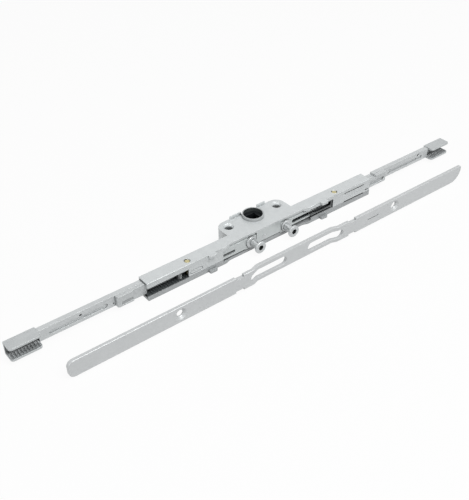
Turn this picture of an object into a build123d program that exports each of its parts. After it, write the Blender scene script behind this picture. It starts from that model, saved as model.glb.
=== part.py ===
from build123d import *
import math
import os

# Window espagnolette gearbox with two opposed drive bars, shown with its faceplate lifted off.
# Millimetres, +X along the bars, -Y towards the faceplate and the keepers, +Z along the spindle.
# The origin is on the spindle axis, on the face that the handle is screwed against.
# Places are given as depth, back from the front of the case, and height, up from its underside.

# Standard interface sizes
HANDLE_SCREW_SPACING = 43.0
SPINDLE_SQUARE = 7.0
BACKSET = 20.0
BAR_STROKE = 18.0

# Clearances
SLIDE_GAP = 0.2
BEARING_GAP = 0.08
BACKLASH = 0.14

# Case
CASE_LENGTH = 198.0
CASE_DEPTH = 10.0
CASE_HEIGHT = 14.0
FLOOR_THICKNESS = 2.0
ROOF_THICKNESS = 1.6
ROOF_END_RELIEF = 0.5
ROOF_END_REACH = 3.0
FRONT_WALL = 1.5
BACK_WALL = 0.8
LIP_HEIGHT = 4.4
JOGGLE_HALF_WIDTH = 37.5
JOGGLE_RUN = 4.5
JOGGLE_DEPTH = 1.6
FRONT_SHIFT = 1.2

# Front openings of the case
LEFT_WINDOW_START = 67.5
LEFT_WINDOW_TOP = 10.0
WINDOW_LIP_HEIGHT = 3.5
WINDOW_LIP_DEPTH = 0.6
RIGHT_SLOT_START = 72.4
RIGHT_SLOT_LENGTH = 20.0
UPPER_SLOT = 10.9
UPPER_SLOT_WIDTH = 0.8
LOWER_SLOT = 3.7
LOWER_SLOT_WIDTH = 1.0
END_NOTCH_LENGTH = 5.0
END_NOTCH = 5.6
END_NOTCH_WIDTH = 0.9
CAM_OPENING_LEFT = 39.5
CAM_OPENING_RIGHT = 61.2
CAM_OPENING_TOP = 11.4
CAM_OPENING_CORNER = 1.2

# Rim in the right end of the cam opening
RIM_START = 40.0
RIM_END = 60.2
RIM_BOTTOM = 5.6
RIM_TOP = 11.0
RIM_WIDTH = 0.7
RIM_FRONT = 0.6
RIM_FOOT = 1.2
RIM_CORNER = 1.7

# Edges and marks
EDGE = 0.4
SMALL_EDGE = 0.25
GAUGE_START = 56.6
GAUGE_LENGTH = 9.8
GAUGE_MIDDLE = 6.7
GAUGE_HEIGHT = 2.8
GAUGE_LINE = 0.35
GAUGE_DEPTH = 0.25

# Lugs that locate the faceplate
LUG_PLACE = 50.0
LUG_LENGTH = 6.0
LUG_REACH = 2.3
LUG_HEIGHT = 1.9
LUG_CORNER = 0.6

# Handle plate behind the case
PLATE_CORNER = 7.1
COLLAR_BORE = 6.9
COLLAR_WALL = 0.8
COLLAR_RISE = 2.0
LEFT_RIB_START = -15.4
LEFT_RIB_END = -5.6
RIGHT_RIB_START = 8.8
RIGHT_RIB_END = 16.1
RIB_WIDTH = 0.9
HANDLE_SCREW_HOLE = 2.6
HANDLE_SCREW_SINK = 3.8
SINK_DEPTH = 2.0

# Brass rivets through the case
RIVET_PLACE = 65.7
RIVET_DEPTH = 4.2
RIVET_SHANK = 1.0
RIVET_HEAD = 1.8
RIVET_SINK = 2.25
RIVET_SINK_DEPTH = 1.1
RIVET_HEAD_THICKNESS = 0.7

# Teeth
TOOTH_PITCH = 2.0
PRESSURE_ANGLE = 25.0
GEAR_ADDENDUM = 0.5
RACK_ADDENDUM = 0.4
DEDENDUM = 0.7
RACK_WEB = 0.45
PINION_TEETH = 8
SPARE_TEETH = 2

# Follower hub
HUB_TOP = 13.2
HUB_BARREL = 6.2
SECTOR_BOTTOM = 10.6
SECTOR_THICKNESS = 1.6
SECTOR_POCKET_GAP = 0.4
POCKET_BACK = 23.1

# Reversing pinion on its pin
PINION_PLACE = -2.5
PINION_HEIGHT = 6.6
PINION_FACE = 1.7
PIN_RADIUS = 1.1
BRACKET_HALF_WIDTH = 3.5
BRACKET_THICKNESS = 1.9
BRIDGE_HALF_WIDTH = 10.8
BRIDGE_THICKNESS = 1.1
BRIDGE_LEDGE = 3.1
BRIDGE_SEAM = 0.5
DIMPLE_RADIUS = 1.6
DIMPLE_DEPTH = 0.3

# Drive bars
BAR_THICKNESS = 2.4
BAR_FRONT = 1.8
BAR_STEP_HEIGHT = 10.4
BAR_STEP = 0.7
BAR_FOOT_STEP = 0.6
FOOT_BOTTOM = 9.0
BAR_INNER_END = 9.9
BAR_OUTER_END = 45.5
BAR_FOOT = 3.5
BAR_TOP = 12.1
ARM_FRONT = 4.4
KEYHOLE_START = 40.0
KEYHOLE_END = 29.2
KEYHOLE_HEIGHT = 5.7
KEYHOLE_WIDTH = 2.3
KEYHOLE_EYE = 1.3
RAIL_START = 22.7
RAIL_BOTTOM = 4.5
RAIL_HEIGHT = 1.0
UPPER_RAIL_HEIGHT = 3.3
RAIL_DEPTH = 1.0

# Eccentric cams
CAM_PLACE = 15.7
CAM_HEIGHT = 7.0
BUSH_RADIUS = 4.2
BUSH_PROUD = 1.3
CAM_ECCENTRICITY = 0.8
STEM_RADIUS = 2.4
HEAD_RADIUS = 4.4
HEAD_THICKNESS = 1.7
HEAD_EDGE = 0.6
HEAD_REACH = 8.2
KEY_WIDTH = 3.5
KEY_DEPTH = 1.8

# Rods
ROD_THICKNESS = 3.6
ROD_HEIGHT = 8.1
ROD_BOTTOM = 4.1
GROOVE_INNER_REACH = 27.6
GROOVE_OUTER_REACH = 65.4
GROOVE_HEIGHT = 7.4
GROOVE_WIDTH = 2.3
GROOVE_DEPTH = 0.8
GROOVE_EYE = 1.9
LEFT_HOLE_REACH = 44.4
LEFT_DOT_REACH = 21.6
RIGHT_HOLE_REACH = 60.9
RIGHT_DOT_REACH = 59.1
LEFT_HOLE_HEIGHT = 9.3
RIGHT_HOLE_HEIGHT = 9.7
LEFT_DOT_HEIGHT = 6.6
RIGHT_DOT_HEIGHT = 6.9
ROD_HOLE = 1.0
ROD_DOT = 0.5
ROD_DOT_DEPTH = 2.0
ROD_SINK = 1.6
NECK_REACH = 9.4
NECK_DROP = 1.5

# Shoes, given as reaches from the end of the case
SHOE_INNER_REACH = -1.0
SHOE_STEP_REACH = 9.0
SHOE_OUTER_REACH = 20.4
SHOE_FRONT = 2.1
SHOE_SET_BACK = 0.9
SHOE_PANEL_BOTTOM = 5.3
LEFT_PANEL_TOP = 7.7
LEFT_PANEL_DEPTH = 0.5
RIGHT_PANEL_TOP = 8.6
RIGHT_PANEL_DEPTH = 1.2
SHOE_EDGE = 1.4

# Couplings
COUPLING_REACH = 92.0
COUPLING_LENGTH = 20.0
COUPLING_FRONT = 0.8
COUPLING_DEPTH = 9.2
COUPLING_BOTTOM = 3.0
COUPLING_HEIGHT = 9.7
COUPLING_FLANGE = 1.5
COUPLING_WEB = 1.0
COUPLING_CORNER = 2.0
TONGUE_LENGTH = 13.0
TONGUE_THICKNESS = 1.6
TONGUE_MARGIN = 0.4
SERRATION_PITCH = 2.0
SERRATION_RADIUS = 0.75
SERRATION_HEIGHT = 0.6
SERRATION_LIP = 1.3

# Rivets of the rods
FIXING_RADIUS = 1.25
FIXING_HEAD = 2.0
FIXING_HEAD_THICKNESS = 0.6

# Glide strips on the floor of the case
GLIDE_HEIGHT = 1.8
GLIDE_RIB_PITCH = 2.0
GLIDE_RIB_DEPTH = 0.5
RIGHT_GLIDE_START = 20.0
POST_PLACE = 73.1
POST_WIDTH = 2.8
POST_DEPTH = 3.8

# Faceplate, lifted off towards the front
FACE_LEFT_REACH = 170.6
FACE_RIGHT_REACH = 168.4
FACE_HEIGHT = 12.0
FACE_THICKNESS = 2.5
FACE_BOTTOM = 1.0
FACE_LIFT = 27.2
FACE_CORNER = 4.0
FACE_END_CORNER = 10.0
FACE_END_EDGE = 1.5
FACE_SLOT_START = 9.5
FACE_SLOT_END = 41.0
FACE_SLOT_WIDTH = 6.6
FACE_SLOT_HEIGHT = 6.8
NOTCH_GAP = 0.3
NOTCH_DEPTH = 1.4
FACE_SCREW_PLACE = 94.3
FACE_SCREW_HOLE = 2.3
FACE_SCREW_SINK = 4.2
FACE_SCREW_SINK_DEPTH = 1.7
FACE_MARK_START = 66.5
FACE_MARK_END = 76.3
FACE_MARK_HEIGHT = 6.6
FACE_MARK_WIDTH = 0.6
FACE_MARK_DOT = 1.0
FACE_MARK_DEPTH = 0.5

# Places worked out from the driving sizes
FRONT_Y = -(BACKSET - FACE_THICKNESS)
BOTTOM_Z = -CASE_HEIGHT
SPINDLE_DEPTH = -FRONT_Y
HALF_CASE = CASE_LENGTH / 2
HALF_SPACING = HANDLE_SCREW_SPACING / 2
PLATE_BACK = SPINDLE_DEPTH + PLATE_CORNER
CAVITY_TOP = CASE_HEIGHT - ROOF_THICKNESS
HUB_RADIUS = BAR_STROKE / (math.pi / 2)
PINION_RADIUS = PINION_TEETH * TOOTH_PITCH / (2 * math.pi)
PITCH_DEPTH = SPINDLE_DEPTH - HUB_RADIUS
PITCH_STEP = 360 * TOOTH_PITCH / (2 * math.pi * HUB_RADIUS)
ARM_BACK = ARM_FRONT + PINION_FACE
BAR_BACK = BAR_FRONT + BAR_THICKNESS
BRIDGE_BACK = JOGGLE_DEPTH + BRIDGE_THICKNESS
ROD_DEPTH = CASE_DEPTH - BACK_WALL - SLIDE_GAP - ROD_THICKNESS
ROD_BACK = ROD_DEPTH + ROD_THICKNESS
ROD_TOP = ROD_BOTTOM + ROD_HEIGHT
ROD_MIDDLE = ROD_BOTTOM + ROD_HEIGHT / 2
SHOE_INNER_END = HALF_CASE + SHOE_INNER_REACH
SHOE_STEP = HALF_CASE + SHOE_STEP_REACH
SHOE_OUTER_END = HALF_CASE + SHOE_OUTER_REACH
COUPLING_END = HALF_CASE + COUPLING_REACH
COUPLING_START = COUPLING_END - COUPLING_LENGTH
RACK_REACH = (round(BAR_STROKE / TOOTH_PITCH) + SPARE_TEETH) * TOOTH_PITCH
FOOT_RIVET = (FOOT_BOTTOM + BAR_TOP) / 2
CUT = 1.0


def front_x(side, place):
    """X of a place on the front, which is centred a little to the right of the spindle."""
    return side * place + FRONT_SHIFT


def depth_y(depth):
    """Y of a depth measured back from the front of the case."""
    return FRONT_Y + depth


def height_z(height):
    """Z of a height measured up from the underside of the case."""
    return BOTTOM_Z + height


def block(x0, x1, depth0, depth1, height0, height1):
    """A plain block between two places along each axis."""
    size = (abs(x1 - x0), depth1 - depth0, height1 - height0)
    place = (min(x0, x1), depth_y(depth0), height_z(height0))
    return Pos(*place) * Box(*size, align=(Align.MIN, Align.MIN, Align.MIN))


def upright(x, depth, radius, height0, height1):
    """A cylinder along Z."""
    place = Pos(x, depth_y(depth), height_z(height0))
    return place * Cylinder(radius, height1 - height0, align=(Align.CENTER, Align.CENTER, Align.MIN))


def along_depth(x, height, radius, depth0, depth1):
    """A cylinder along Y, from one depth to another."""
    place = Pos(x, depth_y(depth0), height_z(height)) * Rot(-90, 0, 0)
    return place * Cylinder(radius, depth1 - depth0, align=(Align.CENTER, Align.CENTER, Align.MIN))


def sink_up(x, depth, small, large, rise, top):
    """A countersink along Z that opens upwards at the height given."""
    place = Pos(x, depth_y(depth), height_z(top - rise))
    return place * Cone(small, large, rise, align=(Align.CENTER, Align.CENTER, Align.MIN))


def sink_front(x, height, small, large, rise, depth):
    """A countersink along Y that opens forwards at the depth given."""
    place = Pos(x, depth_y(depth), height_z(height)) * Rot(-90, 0, 0)
    return place * Cone(large, small, rise, align=(Align.CENTER, Align.CENTER, Align.MIN))


def slot_front(x0, x1, height, width, depth0, depth1):
    """A round-ended slot cut along Y."""
    radius = width / 2
    left, right = min(x0, x1) + radius, max(x0, x1) - radius
    middle = block(left, right, depth0, depth1, height - radius, height + radius)
    return middle + [along_depth(x, height, radius, depth0, depth1) for x in (left, right)]


def extruded(points, length):
    """A closed outline in the XY plane, extruded up."""
    return extrude(make_face(Polyline(*points, close=True)), amount=length)


def involute(angle):
    return math.tan(angle) - angle


def gear_points(pitch_radius, teeth, first, last):
    """Outline of the teeth first to last of an involute gear, anticlockwise, with a tooth at angle 0."""
    flank_steps = 5
    pressure = math.radians(PRESSURE_ANGLE)
    base = pitch_radius * math.cos(pressure)
    root, tip = pitch_radius - DEDENDUM, pitch_radius + GEAR_ADDENDUM
    half = math.pi / (2 * teeth) - BACKLASH / (4 * pitch_radius) + involute(pressure)
    start = max(base, root)
    flank = []
    for step in range(flank_steps + 1):
        radius = start + (tip - start) * step / flank_steps
        flank.append((radius, half - involute(math.acos(min(1.0, base / radius)))))
    if root < base:
        flank.insert(0, (root, flank[0][1]))
    points = []
    for tooth in range(first, last + 1):
        centre = tooth * 2 * math.pi / teeth
        sides = [(r, centre - a) for r, a in flank] + [(r, centre + a) for r, a in reversed(flank)]
        points += [(r * math.cos(a), r * math.sin(a)) for r, a in sides]
    return points


def rack_outline(first, last, back):
    """Rack teeth that point along +Y, with a tooth centred on x = 0 and the pitch line on y = 0."""
    slope = math.tan(math.radians(PRESSURE_ANGLE))
    half = TOOTH_PITCH / 4 - BACKLASH / 4
    points = []
    for tooth in range(first, last + 1):
        centre = tooth * TOOTH_PITCH
        foot, tip = half + DEDENDUM * slope, half - RACK_ADDENDUM * slope
        points += [(centre - foot, -DEDENDUM), (centre - tip, RACK_ADDENDUM)]
        points += [(centre + tip, RACK_ADDENDUM), (centre + foot, -DEDENDUM)]
    return points + [(points[-1][0], -back), (points[0][0], -back)]


# Case
def handle_plate(height0, height1):
    """The rounded plate behind the case that takes the handle screws."""
    corners = [upright(s * HALF_SPACING, SPINDLE_DEPTH, PLATE_CORNER, height0, height1) for s in (-1, 1)]
    back = block(-HALF_SPACING, HALF_SPACING, CASE_DEPTH, PLATE_BACK, height0, height1)
    reach = HALF_SPACING + PLATE_CORNER
    return back + corners + block(-reach, reach, CASE_DEPTH - CUT, SPINDLE_DEPTH, height0, height1)


def case_outline(height0, height1):
    return block(-HALF_CASE, HALF_CASE, 0, CASE_DEPTH, height0, height1) + handle_plate(height0, height1)


def joggle_recess(height0, height1):
    """The shallow recess with slanted ends that takes the joggled middle of the faceplate."""
    outer, inner = JOGGLE_HALF_WIDTH, JOGGLE_HALF_WIDTH - JOGGLE_RUN
    outline = [(-outer, -CUT), (outer, -CUT), (outer, 0),
               (inner, JOGGLE_DEPTH), (-inner, JOGGLE_DEPTH), (-outer, 0)]
    return Pos(0, FRONT_Y, height_z(height0)) * extruded(outline, height1 - height0)


def screw_holes(height0, height1):
    return [upright(s * HALF_SPACING, SPINDLE_DEPTH, HANDLE_SCREW_HOLE, height0, height1) for s in (-1, 1)]


def rivet_holes(height0, height1):
    radius = RIVET_SHANK + BEARING_GAP
    return [upright(s * RIVET_PLACE, RIVET_DEPTH, radius, height0, height1) for s in (-1, 1)]


def lug(side, height0, height1):
    """A lug that stands out of the front of the case, in a notch of the faceplate."""
    middle = front_x(side, LUG_PLACE)
    body = block(middle - LUG_LENGTH / 2, middle + LUG_LENGTH / 2, -LUG_REACH, FRONT_WALL, height0, height1)
    return chamfer(body.edges().filter_by(Axis.Z).group_by(Axis.Y)[0], LUG_CORNER)


def gauge_mark():
    """A fine line in the shape of a long ring, cut in the front wall left of the cam opening."""
    start, end, back = -GAUGE_START - GAUGE_LENGTH, -GAUGE_START, GAUGE_DEPTH
    inner = GAUGE_HEIGHT - 2 * GAUGE_LINE
    ring = slot_front(start, end, GAUGE_MIDDLE, GAUGE_HEIGHT, -CUT, back)
    return ring - slot_front(start + GAUGE_LINE, end - GAUGE_LINE, GAUGE_MIDDLE, inner, -2 * CUT, back + CUT)


def right_slots():
    """The two long slots of the front wall and the notch at its right end."""
    start, end = RIGHT_SLOT_START, RIGHT_SLOT_START + RIGHT_SLOT_LENGTH
    upper = block(start, end, -CUT, FRONT_WALL + CUT, UPPER_SLOT, UPPER_SLOT + UPPER_SLOT_WIDTH)
    lower = block(start, end, -CUT, FRONT_WALL + CUT, LOWER_SLOT, LOWER_SLOT + LOWER_SLOT_WIDTH)
    notch = block(HALF_CASE - END_NOTCH_LENGTH, HALF_CASE + CUT, -CUT, FRONT_WALL + CUT,
                  END_NOTCH, END_NOTCH + END_NOTCH_WIDTH)
    return [upper, lower, notch]


def rim_outline(margin):
    """A block with one rounded corner, for the outside or the inside of the rim."""
    body = block(RIM_START, RIM_END - margin, RIM_FRONT, FRONT_WALL, RIM_BOTTOM + margin, RIM_TOP - margin)
    corner = body.edges().filter_by(Axis.Y).sort_by(lambda edge: edge.center().Z - edge.center().X)[0]
    return fillet(corner, RIM_CORNER - margin)


def opening_rim():
    """A rim in the right end of the cam opening, on its own foot."""
    foot = block(RIM_END - RIM_FOOT, RIM_END, RIM_FRONT, FRONT_WALL, 0, RIM_BOTTOM + RIM_CORNER / 2)
    return rim_outline(0) - rim_outline(RIM_WIDTH) + foot


def hub_pockets():
    """Room for the hub, its toothed sector and its barrel."""
    sector = upright(0, SPINDLE_DEPTH, HUB_RADIUS + GEAR_ADDENDUM + SECTOR_POCKET_GAP,
                     SECTOR_BOTTOM - SLIDE_GAP, SECTOR_BOTTOM + SECTOR_THICKNESS + SLIDE_GAP)
    sector -= block(-HALF_CASE, HALF_CASE, POCKET_BACK, PLATE_BACK + CUT, 0, CASE_HEIGHT)
    bore = upright(0, SPINDLE_DEPTH, COLLAR_BORE, SECTOR_BOTTOM, CASE_HEIGHT + COLLAR_RISE + CUT)
    barrel = upright(0, SPINDLE_DEPTH, HUB_BARREL + BEARING_GAP, 0, SECTOR_BOTTOM)
    return [sector, bore, barrel]


def make_upper_case():
    body = case_outline(FLOOR_THICKNESS, CASE_HEIGHT)
    body = fillet(body.edges().group_by(Axis.Z)[-1], EDGE)
    body -= block(-HALF_CASE - CUT, HALF_CASE + CUT, FRONT_WALL, CASE_DEPTH - BACK_WALL,
                  FLOOR_THICKNESS - CUT, CAVITY_TOP)
    body -= block(-HALF_CASE - CUT, HALF_CASE + CUT, -CUT, FRONT_WALL + CUT, 0, LIP_HEIGHT)
    body -= block(-HALF_CASE - CUT, -LEFT_WINDOW_START, -CUT, FRONT_WALL + CUT, 0, LEFT_WINDOW_TOP)
    body -= block(-HALF_CASE - CUT, ROOF_END_REACH - HALF_CASE, FRONT_WALL, CASE_DEPTH - BACK_WALL,
                  CAVITY_TOP - CUT, CAVITY_TOP + ROOF_END_RELIEF)
    opening = block(-CAM_OPENING_LEFT, CAM_OPENING_RIGHT, -CUT, FRONT_WALL + CUT, 0, CAM_OPENING_TOP)
    corner = opening.edges().filter_by(Axis.Y).group_by(Axis.Z)[-1].group_by(Axis.X)[-1]
    body -= fillet(corner, CAM_OPENING_CORNER)
    body -= joggle_recess(0, CASE_HEIGHT + CUT)
    body += upright(0, SPINDLE_DEPTH, COLLAR_BORE + COLLAR_WALL, CASE_HEIGHT - CUT, CASE_HEIGHT + COLLAR_RISE)
    for start, end in ((LEFT_RIB_START, LEFT_RIB_END), (RIGHT_RIB_START, RIGHT_RIB_END)):
        body += block(start, end, PLATE_BACK - RIB_WIDTH, PLATE_BACK,
                      CASE_HEIGHT - CUT, CASE_HEIGHT + COLLAR_RISE)
    for side in (-1, 1):
        body += lug(side, CASE_HEIGHT - LUG_HEIGHT, CASE_HEIGHT)
    body -= hub_pockets()
    body -= screw_holes(0, CASE_HEIGHT + CUT)
    body -= rivet_holes(0, CASE_HEIGHT + CUT)
    body -= gauge_mark()
    body -= right_slots()
    for side in (-1, 1):
        body -= sink_up(side * HALF_SPACING, SPINDLE_DEPTH, HANDLE_SCREW_HOLE, HANDLE_SCREW_SINK,
                        SINK_DEPTH, CASE_HEIGHT)
        body -= upright(side * RIVET_PLACE, RIVET_DEPTH, RIVET_SINK,
                        CASE_HEIGHT - RIVET_SINK_DEPTH, CASE_HEIGHT + CUT)
    return body


def make_lower_case():
    body = case_outline(0, FLOOR_THICKNESS)
    body = chamfer(body.edges().group_by(Axis.Z)[0], SMALL_EDGE)
    cam_reach = front_x(1, CAM_PLACE) + BAR_STROKE + BUSH_RADIUS + 2 * SLIDE_GAP
    for start, end in ((-LEFT_WINDOW_START, -CAM_OPENING_LEFT), (CAM_OPENING_RIGHT, HALF_CASE)):
        body += block(start, end, 0, FRONT_WALL, SMALL_EDGE, LIP_HEIGHT)
    body += block(-HALF_CASE, -LEFT_WINDOW_START, 0, WINDOW_LIP_DEPTH, SMALL_EDGE, WINDOW_LIP_HEIGHT)
    body += block(cam_reach, CAM_OPENING_RIGHT, 0, WINDOW_LIP_DEPTH, SMALL_EDGE, LIP_HEIGHT)
    body -= joggle_recess(-CUT, CASE_HEIGHT)
    body -= right_slots()
    body += bridge_block(0, BRIDGE_LEDGE)
    body += pinion_bracket() + opening_rim()
    body += block(-POST_PLACE - POST_WIDTH / 2, -POST_PLACE + POST_WIDTH / 2,
                  POST_DEPTH - POST_WIDTH / 2, POST_DEPTH + POST_WIDTH / 2, 0, CAVITY_TOP)
    for side in (-1, 1):
        body += lug(side, 0, LUG_HEIGHT)
    body -= upright(0, SPINDLE_DEPTH, HUB_BARREL + BEARING_GAP, -CUT, FLOOR_THICKNESS + CUT)
    body -= screw_holes(-CUT, FLOOR_THICKNESS + CUT)
    body -= rivet_holes(-CUT, FLOOR_THICKNESS + CUT)
    return body


def bridge_block(height0, height1):
    return block(front_x(-1, BRIDGE_HALF_WIDTH), front_x(1, BRIDGE_HALF_WIDTH), JOGGLE_DEPTH, BRIDGE_BACK,
                 height0, height1)


def pinion_bracket():
    """The post that carries the back end of the pinion's pin."""
    front, back = ARM_BACK + SLIDE_GAP, ARM_BACK + SLIDE_GAP + BRACKET_THICKNESS
    left, right = PINION_PLACE - BRACKET_HALF_WIDTH, PINION_PLACE + BRACKET_HALF_WIDTH
    post = block(left, right, front, back, 0, SECTOR_BOTTOM - 2 * SLIDE_GAP)
    return post - along_depth(PINION_PLACE, PINION_HEIGHT, PIN_RADIUS, front - CUT, back + CUT)


def make_case_rivets():
    rivets = []
    head_bottom = CASE_HEIGHT - RIVET_SINK_DEPTH
    head_top = head_bottom + RIVET_HEAD_THICKNESS
    for side in (-1, 1):
        head = upright(side * RIVET_PLACE, RIVET_DEPTH, RIVET_HEAD, head_bottom, head_top)
        head = chamfer(head.edges().group_by(Axis.Z)[-1], RIVET_HEAD_THICKNESS / 3)
        rivets.append(head + upright(side * RIVET_PLACE, RIVET_DEPTH, RIVET_SHANK, 0, head_bottom + CUT / 2))
    return Compound(rivets)


def make_centre_bridge():
    """The fixed plate between the cams, with the riveted end of the pinion's pin."""
    plate, front = bridge_block(BRIDGE_LEDGE, CAVITY_TOP), JOGGLE_DEPTH - CUT
    plate -= block(-HALF_CASE, HALF_CASE, front, JOGGLE_DEPTH + BRIDGE_SEAM, 0, BRIDGE_LEDGE + BRIDGE_SEAM)
    return plate - along_depth(PINION_PLACE, PINION_HEIGHT, PIN_RADIUS, front, BRIDGE_BACK + CUT)


def make_pinion_pin():
    back = ARM_BACK + SLIDE_GAP + BRACKET_THICKNESS
    pin = along_depth(PINION_PLACE, PINION_HEIGHT, PIN_RADIUS, JOGGLE_DEPTH, back)
    head = along_depth(PINION_PLACE, PINION_HEIGHT, DIMPLE_RADIUS, JOGGLE_DEPTH - DIMPLE_DEPTH, JOGGLE_DEPTH)
    return pin + chamfer(head.edges().group_by(Axis.Y)[0], DIMPLE_DEPTH / 2)


def make_reversing_pinion():
    """The pinion between the two racks. A space faces up and another faces down."""
    turn = Rot(0, 0, 90 + 180 / PINION_TEETH)
    outline = gear_points(PINION_RADIUS, PINION_TEETH, 0, PINION_TEETH - 1)
    wheel = Rot(90, 0, 0) * turn * extruded(outline, PINION_FACE - 2 * SLIDE_GAP)
    wheel = Pos(PINION_PLACE, depth_y(ARM_BACK - SLIDE_GAP), height_z(PINION_HEIGHT)) * wheel
    return wheel - along_depth(PINION_PLACE, PINION_HEIGHT, PIN_RADIUS + BEARING_GAP, 0, CASE_DEPTH)


def make_follower_hub():
    """The hub that the spindle turns. Its teeth drive the left bar's rack over a quarter turn."""
    margin = SPARE_TEETH
    quarter = round(90 / PITCH_STEP)
    first, last = -margin, quarter + margin
    outline = [(0, 0)] + gear_points(HUB_RADIUS, 360 / PITCH_STEP, first, last)
    sector = Rot(0, 0, -90 + PITCH_STEP / 2) * extruded(outline, SECTOR_THICKNESS)
    sector = Pos(0, 0, height_z(SECTOR_BOTTOM)) * sector
    barrel = upright(0, SPINDLE_DEPTH, HUB_BARREL, SLIDE_GAP, SECTOR_BOTTOM + CUT)
    journal = upright(0, SPINDLE_DEPTH, COLLAR_BORE - BEARING_GAP, SECTOR_BOTTOM, HUB_TOP)
    socket = Pos(0, 0, height_z(-CUT)) * Box(SPINDLE_SQUARE, SPINDLE_SQUARE, CASE_HEIGHT + 2 * CUT,
                                             align=(Align.CENTER, Align.CENTER, Align.MIN))
    return sector + barrel + journal - socket


# Drive bars
def hub_rack(height0, height1):
    """The teeth on the back of the left bar that the hub drives."""
    first, last = -SPARE_TEETH, round(BAR_STROKE / TOOTH_PITCH) + SPARE_TEETH
    rack = extruded(rack_outline(first, last, PITCH_DEPTH - ARM_FRONT), height1 - height0)
    return Pos(0, depth_y(PITCH_DEPTH), height_z(height0)) * rack


def pinion_rack(side, height_back):
    """Teeth that meet the pinion from above, side +1, or from below, side -1."""
    count = round(BAR_STROKE / TOOTH_PITCH)
    first, last = (-SPARE_TEETH, count + SPARE_TEETH) if side > 0 else (-count - SPARE_TEETH, SPARE_TEETH)
    back = abs(height_back - PINION_HEIGHT) - PINION_RADIUS
    rack = extruded(rack_outline(first, last, back), PINION_FACE)
    if side > 0:
        rack = Rot(-90, 0, 0) * rack
        place = Pos(PINION_PLACE, depth_y(ARM_FRONT), height_z(PINION_HEIGHT + PINION_RADIUS))
    else:
        rack = Rot(90, 0, 0) * rack
        place = Pos(PINION_PLACE, depth_y(ARM_BACK), height_z(PINION_HEIGHT - PINION_RADIUS))
    return place * rack


def bar_foot(side):
    """The block that ties a bar's front plate to its rod."""
    return block(side * (BAR_OUTER_END - BAR_FOOT), side * BAR_OUTER_END, BAR_BACK - CUT / 2, ROD_DEPTH,
                 FOOT_BOTTOM, BAR_TOP)


def bush_hole(side):
    return along_depth(front_x(side, CAM_PLACE), CAM_HEIGHT, BUSH_RADIUS + BEARING_GAP, 0, ARM_FRONT)


def bar_plate(side):
    """The front plate of a bar: stepped back along its top, and at its inner end behind the bridge."""
    inner, outer = front_x(side, BAR_INNER_END), side * BAR_OUTER_END
    plate = block(inner, outer, BAR_FRONT, BAR_BACK, FLOOR_THICKNESS + SLIDE_GAP, BAR_TOP)
    plate -= block(-HALF_CASE, HALF_CASE, BAR_FRONT - CUT, BAR_FRONT + BAR_STEP, BAR_STEP_HEIGHT, CASE_HEIGHT)
    return plate - block(front_x(side, 0), front_x(side, BRIDGE_HALF_WIDTH + SLIDE_GAP), BAR_FRONT - CUT,
                         BRIDGE_BACK + SLIDE_GAP, 0, CASE_HEIGHT)


def make_left_drive_bar():
    """Bar with the keyhole slot. Its arm reaches over the pinion and in front of the hub."""
    arm_bottom = PINION_HEIGHT + PINION_RADIUS + DEDENDUM
    inner = front_x(-1, BAR_INNER_END)
    foot_top = FLOOR_THICKNESS + SLIDE_GAP + BAR_FOOT_STEP
    body = bar_plate(-1)
    body -= block(-HALF_CASE, front_x(-1, CAM_PLACE + BUSH_RADIUS + BAR_STEP), BAR_FRONT - CUT,
                  BAR_FRONT + BAR_STEP, 0, foot_top)
    body -= slot_front(-KEYHOLE_START, -KEYHOLE_END, KEYHOLE_HEIGHT, KEYHOLE_WIDTH, 0, ARM_FRONT)
    body -= along_depth(-KEYHOLE_END, KEYHOLE_HEIGHT, KEYHOLE_EYE, 0, ARM_FRONT)
    body += block(-BAR_OUTER_END, inner, BAR_BACK - CUT / 2, ARM_FRONT, arm_bottom, BAR_TOP)
    body += block(-BAR_OUTER_END, RACK_REACH, ARM_FRONT, PITCH_DEPTH - DEDENDUM, arm_bottom, BAR_TOP)
    body += hub_rack(SECTOR_BOTTOM, BAR_TOP)
    body += pinion_rack(1, arm_bottom + RACK_WEB)
    return body + bar_foot(-1) - bush_hole(-1)


def make_right_drive_bar():
    """Bar with the long slot. Its low arm reaches under the pinion."""
    arm_top = PINION_HEIGHT - PINION_RADIUS - DEDENDUM
    floor, rail_top = FLOOR_THICKNESS + SLIDE_GAP, RAIL_BOTTOM + RAIL_HEIGHT
    slot_top, outer = BAR_TOP - UPPER_RAIL_HEIGHT, BAR_OUTER_END + CASE_HEIGHT
    inner = front_x(1, BAR_INNER_END)
    body = bar_plate(1)
    body -= block(RAIL_START, outer, 0, BAR_BACK, 0, RAIL_BOTTOM)
    body -= block(RAIL_START, outer, BAR_FRONT + RAIL_DEPTH, BAR_BACK, 0, rail_top)
    body -= slot_front(RAIL_START, outer, (rail_top + slot_top) / 2, slot_top - rail_top, 0, BAR_BACK)
    body += block(inner, inner + BAR_FOOT, BAR_BACK - CUT / 2, ARM_FRONT, floor, arm_top)
    body += block(PINION_PLACE - RACK_REACH, inner + BAR_FOOT, ARM_FRONT, ARM_BACK, floor, arm_top)
    body += pinion_rack(-1, floor)
    return body + bar_foot(1) - bush_hole(1)


# Cams
def make_cam_bush(side):
    """The eccentric bush that turns in the bar."""
    front = BAR_FRONT - BUSH_PROUD
    bush = along_depth(front_x(side, CAM_PLACE), CAM_HEIGHT, BUSH_RADIUS, front, BAR_BACK)
    bush = chamfer(bush.edges().group_by(Axis.Y)[0], HEAD_EDGE / 2)
    stem = front_x(side, CAM_PLACE - CAM_ECCENTRICITY)
    return bush - along_depth(stem, CAM_HEIGHT, STEM_RADIUS, front - CUT, ARM_FRONT)


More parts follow.
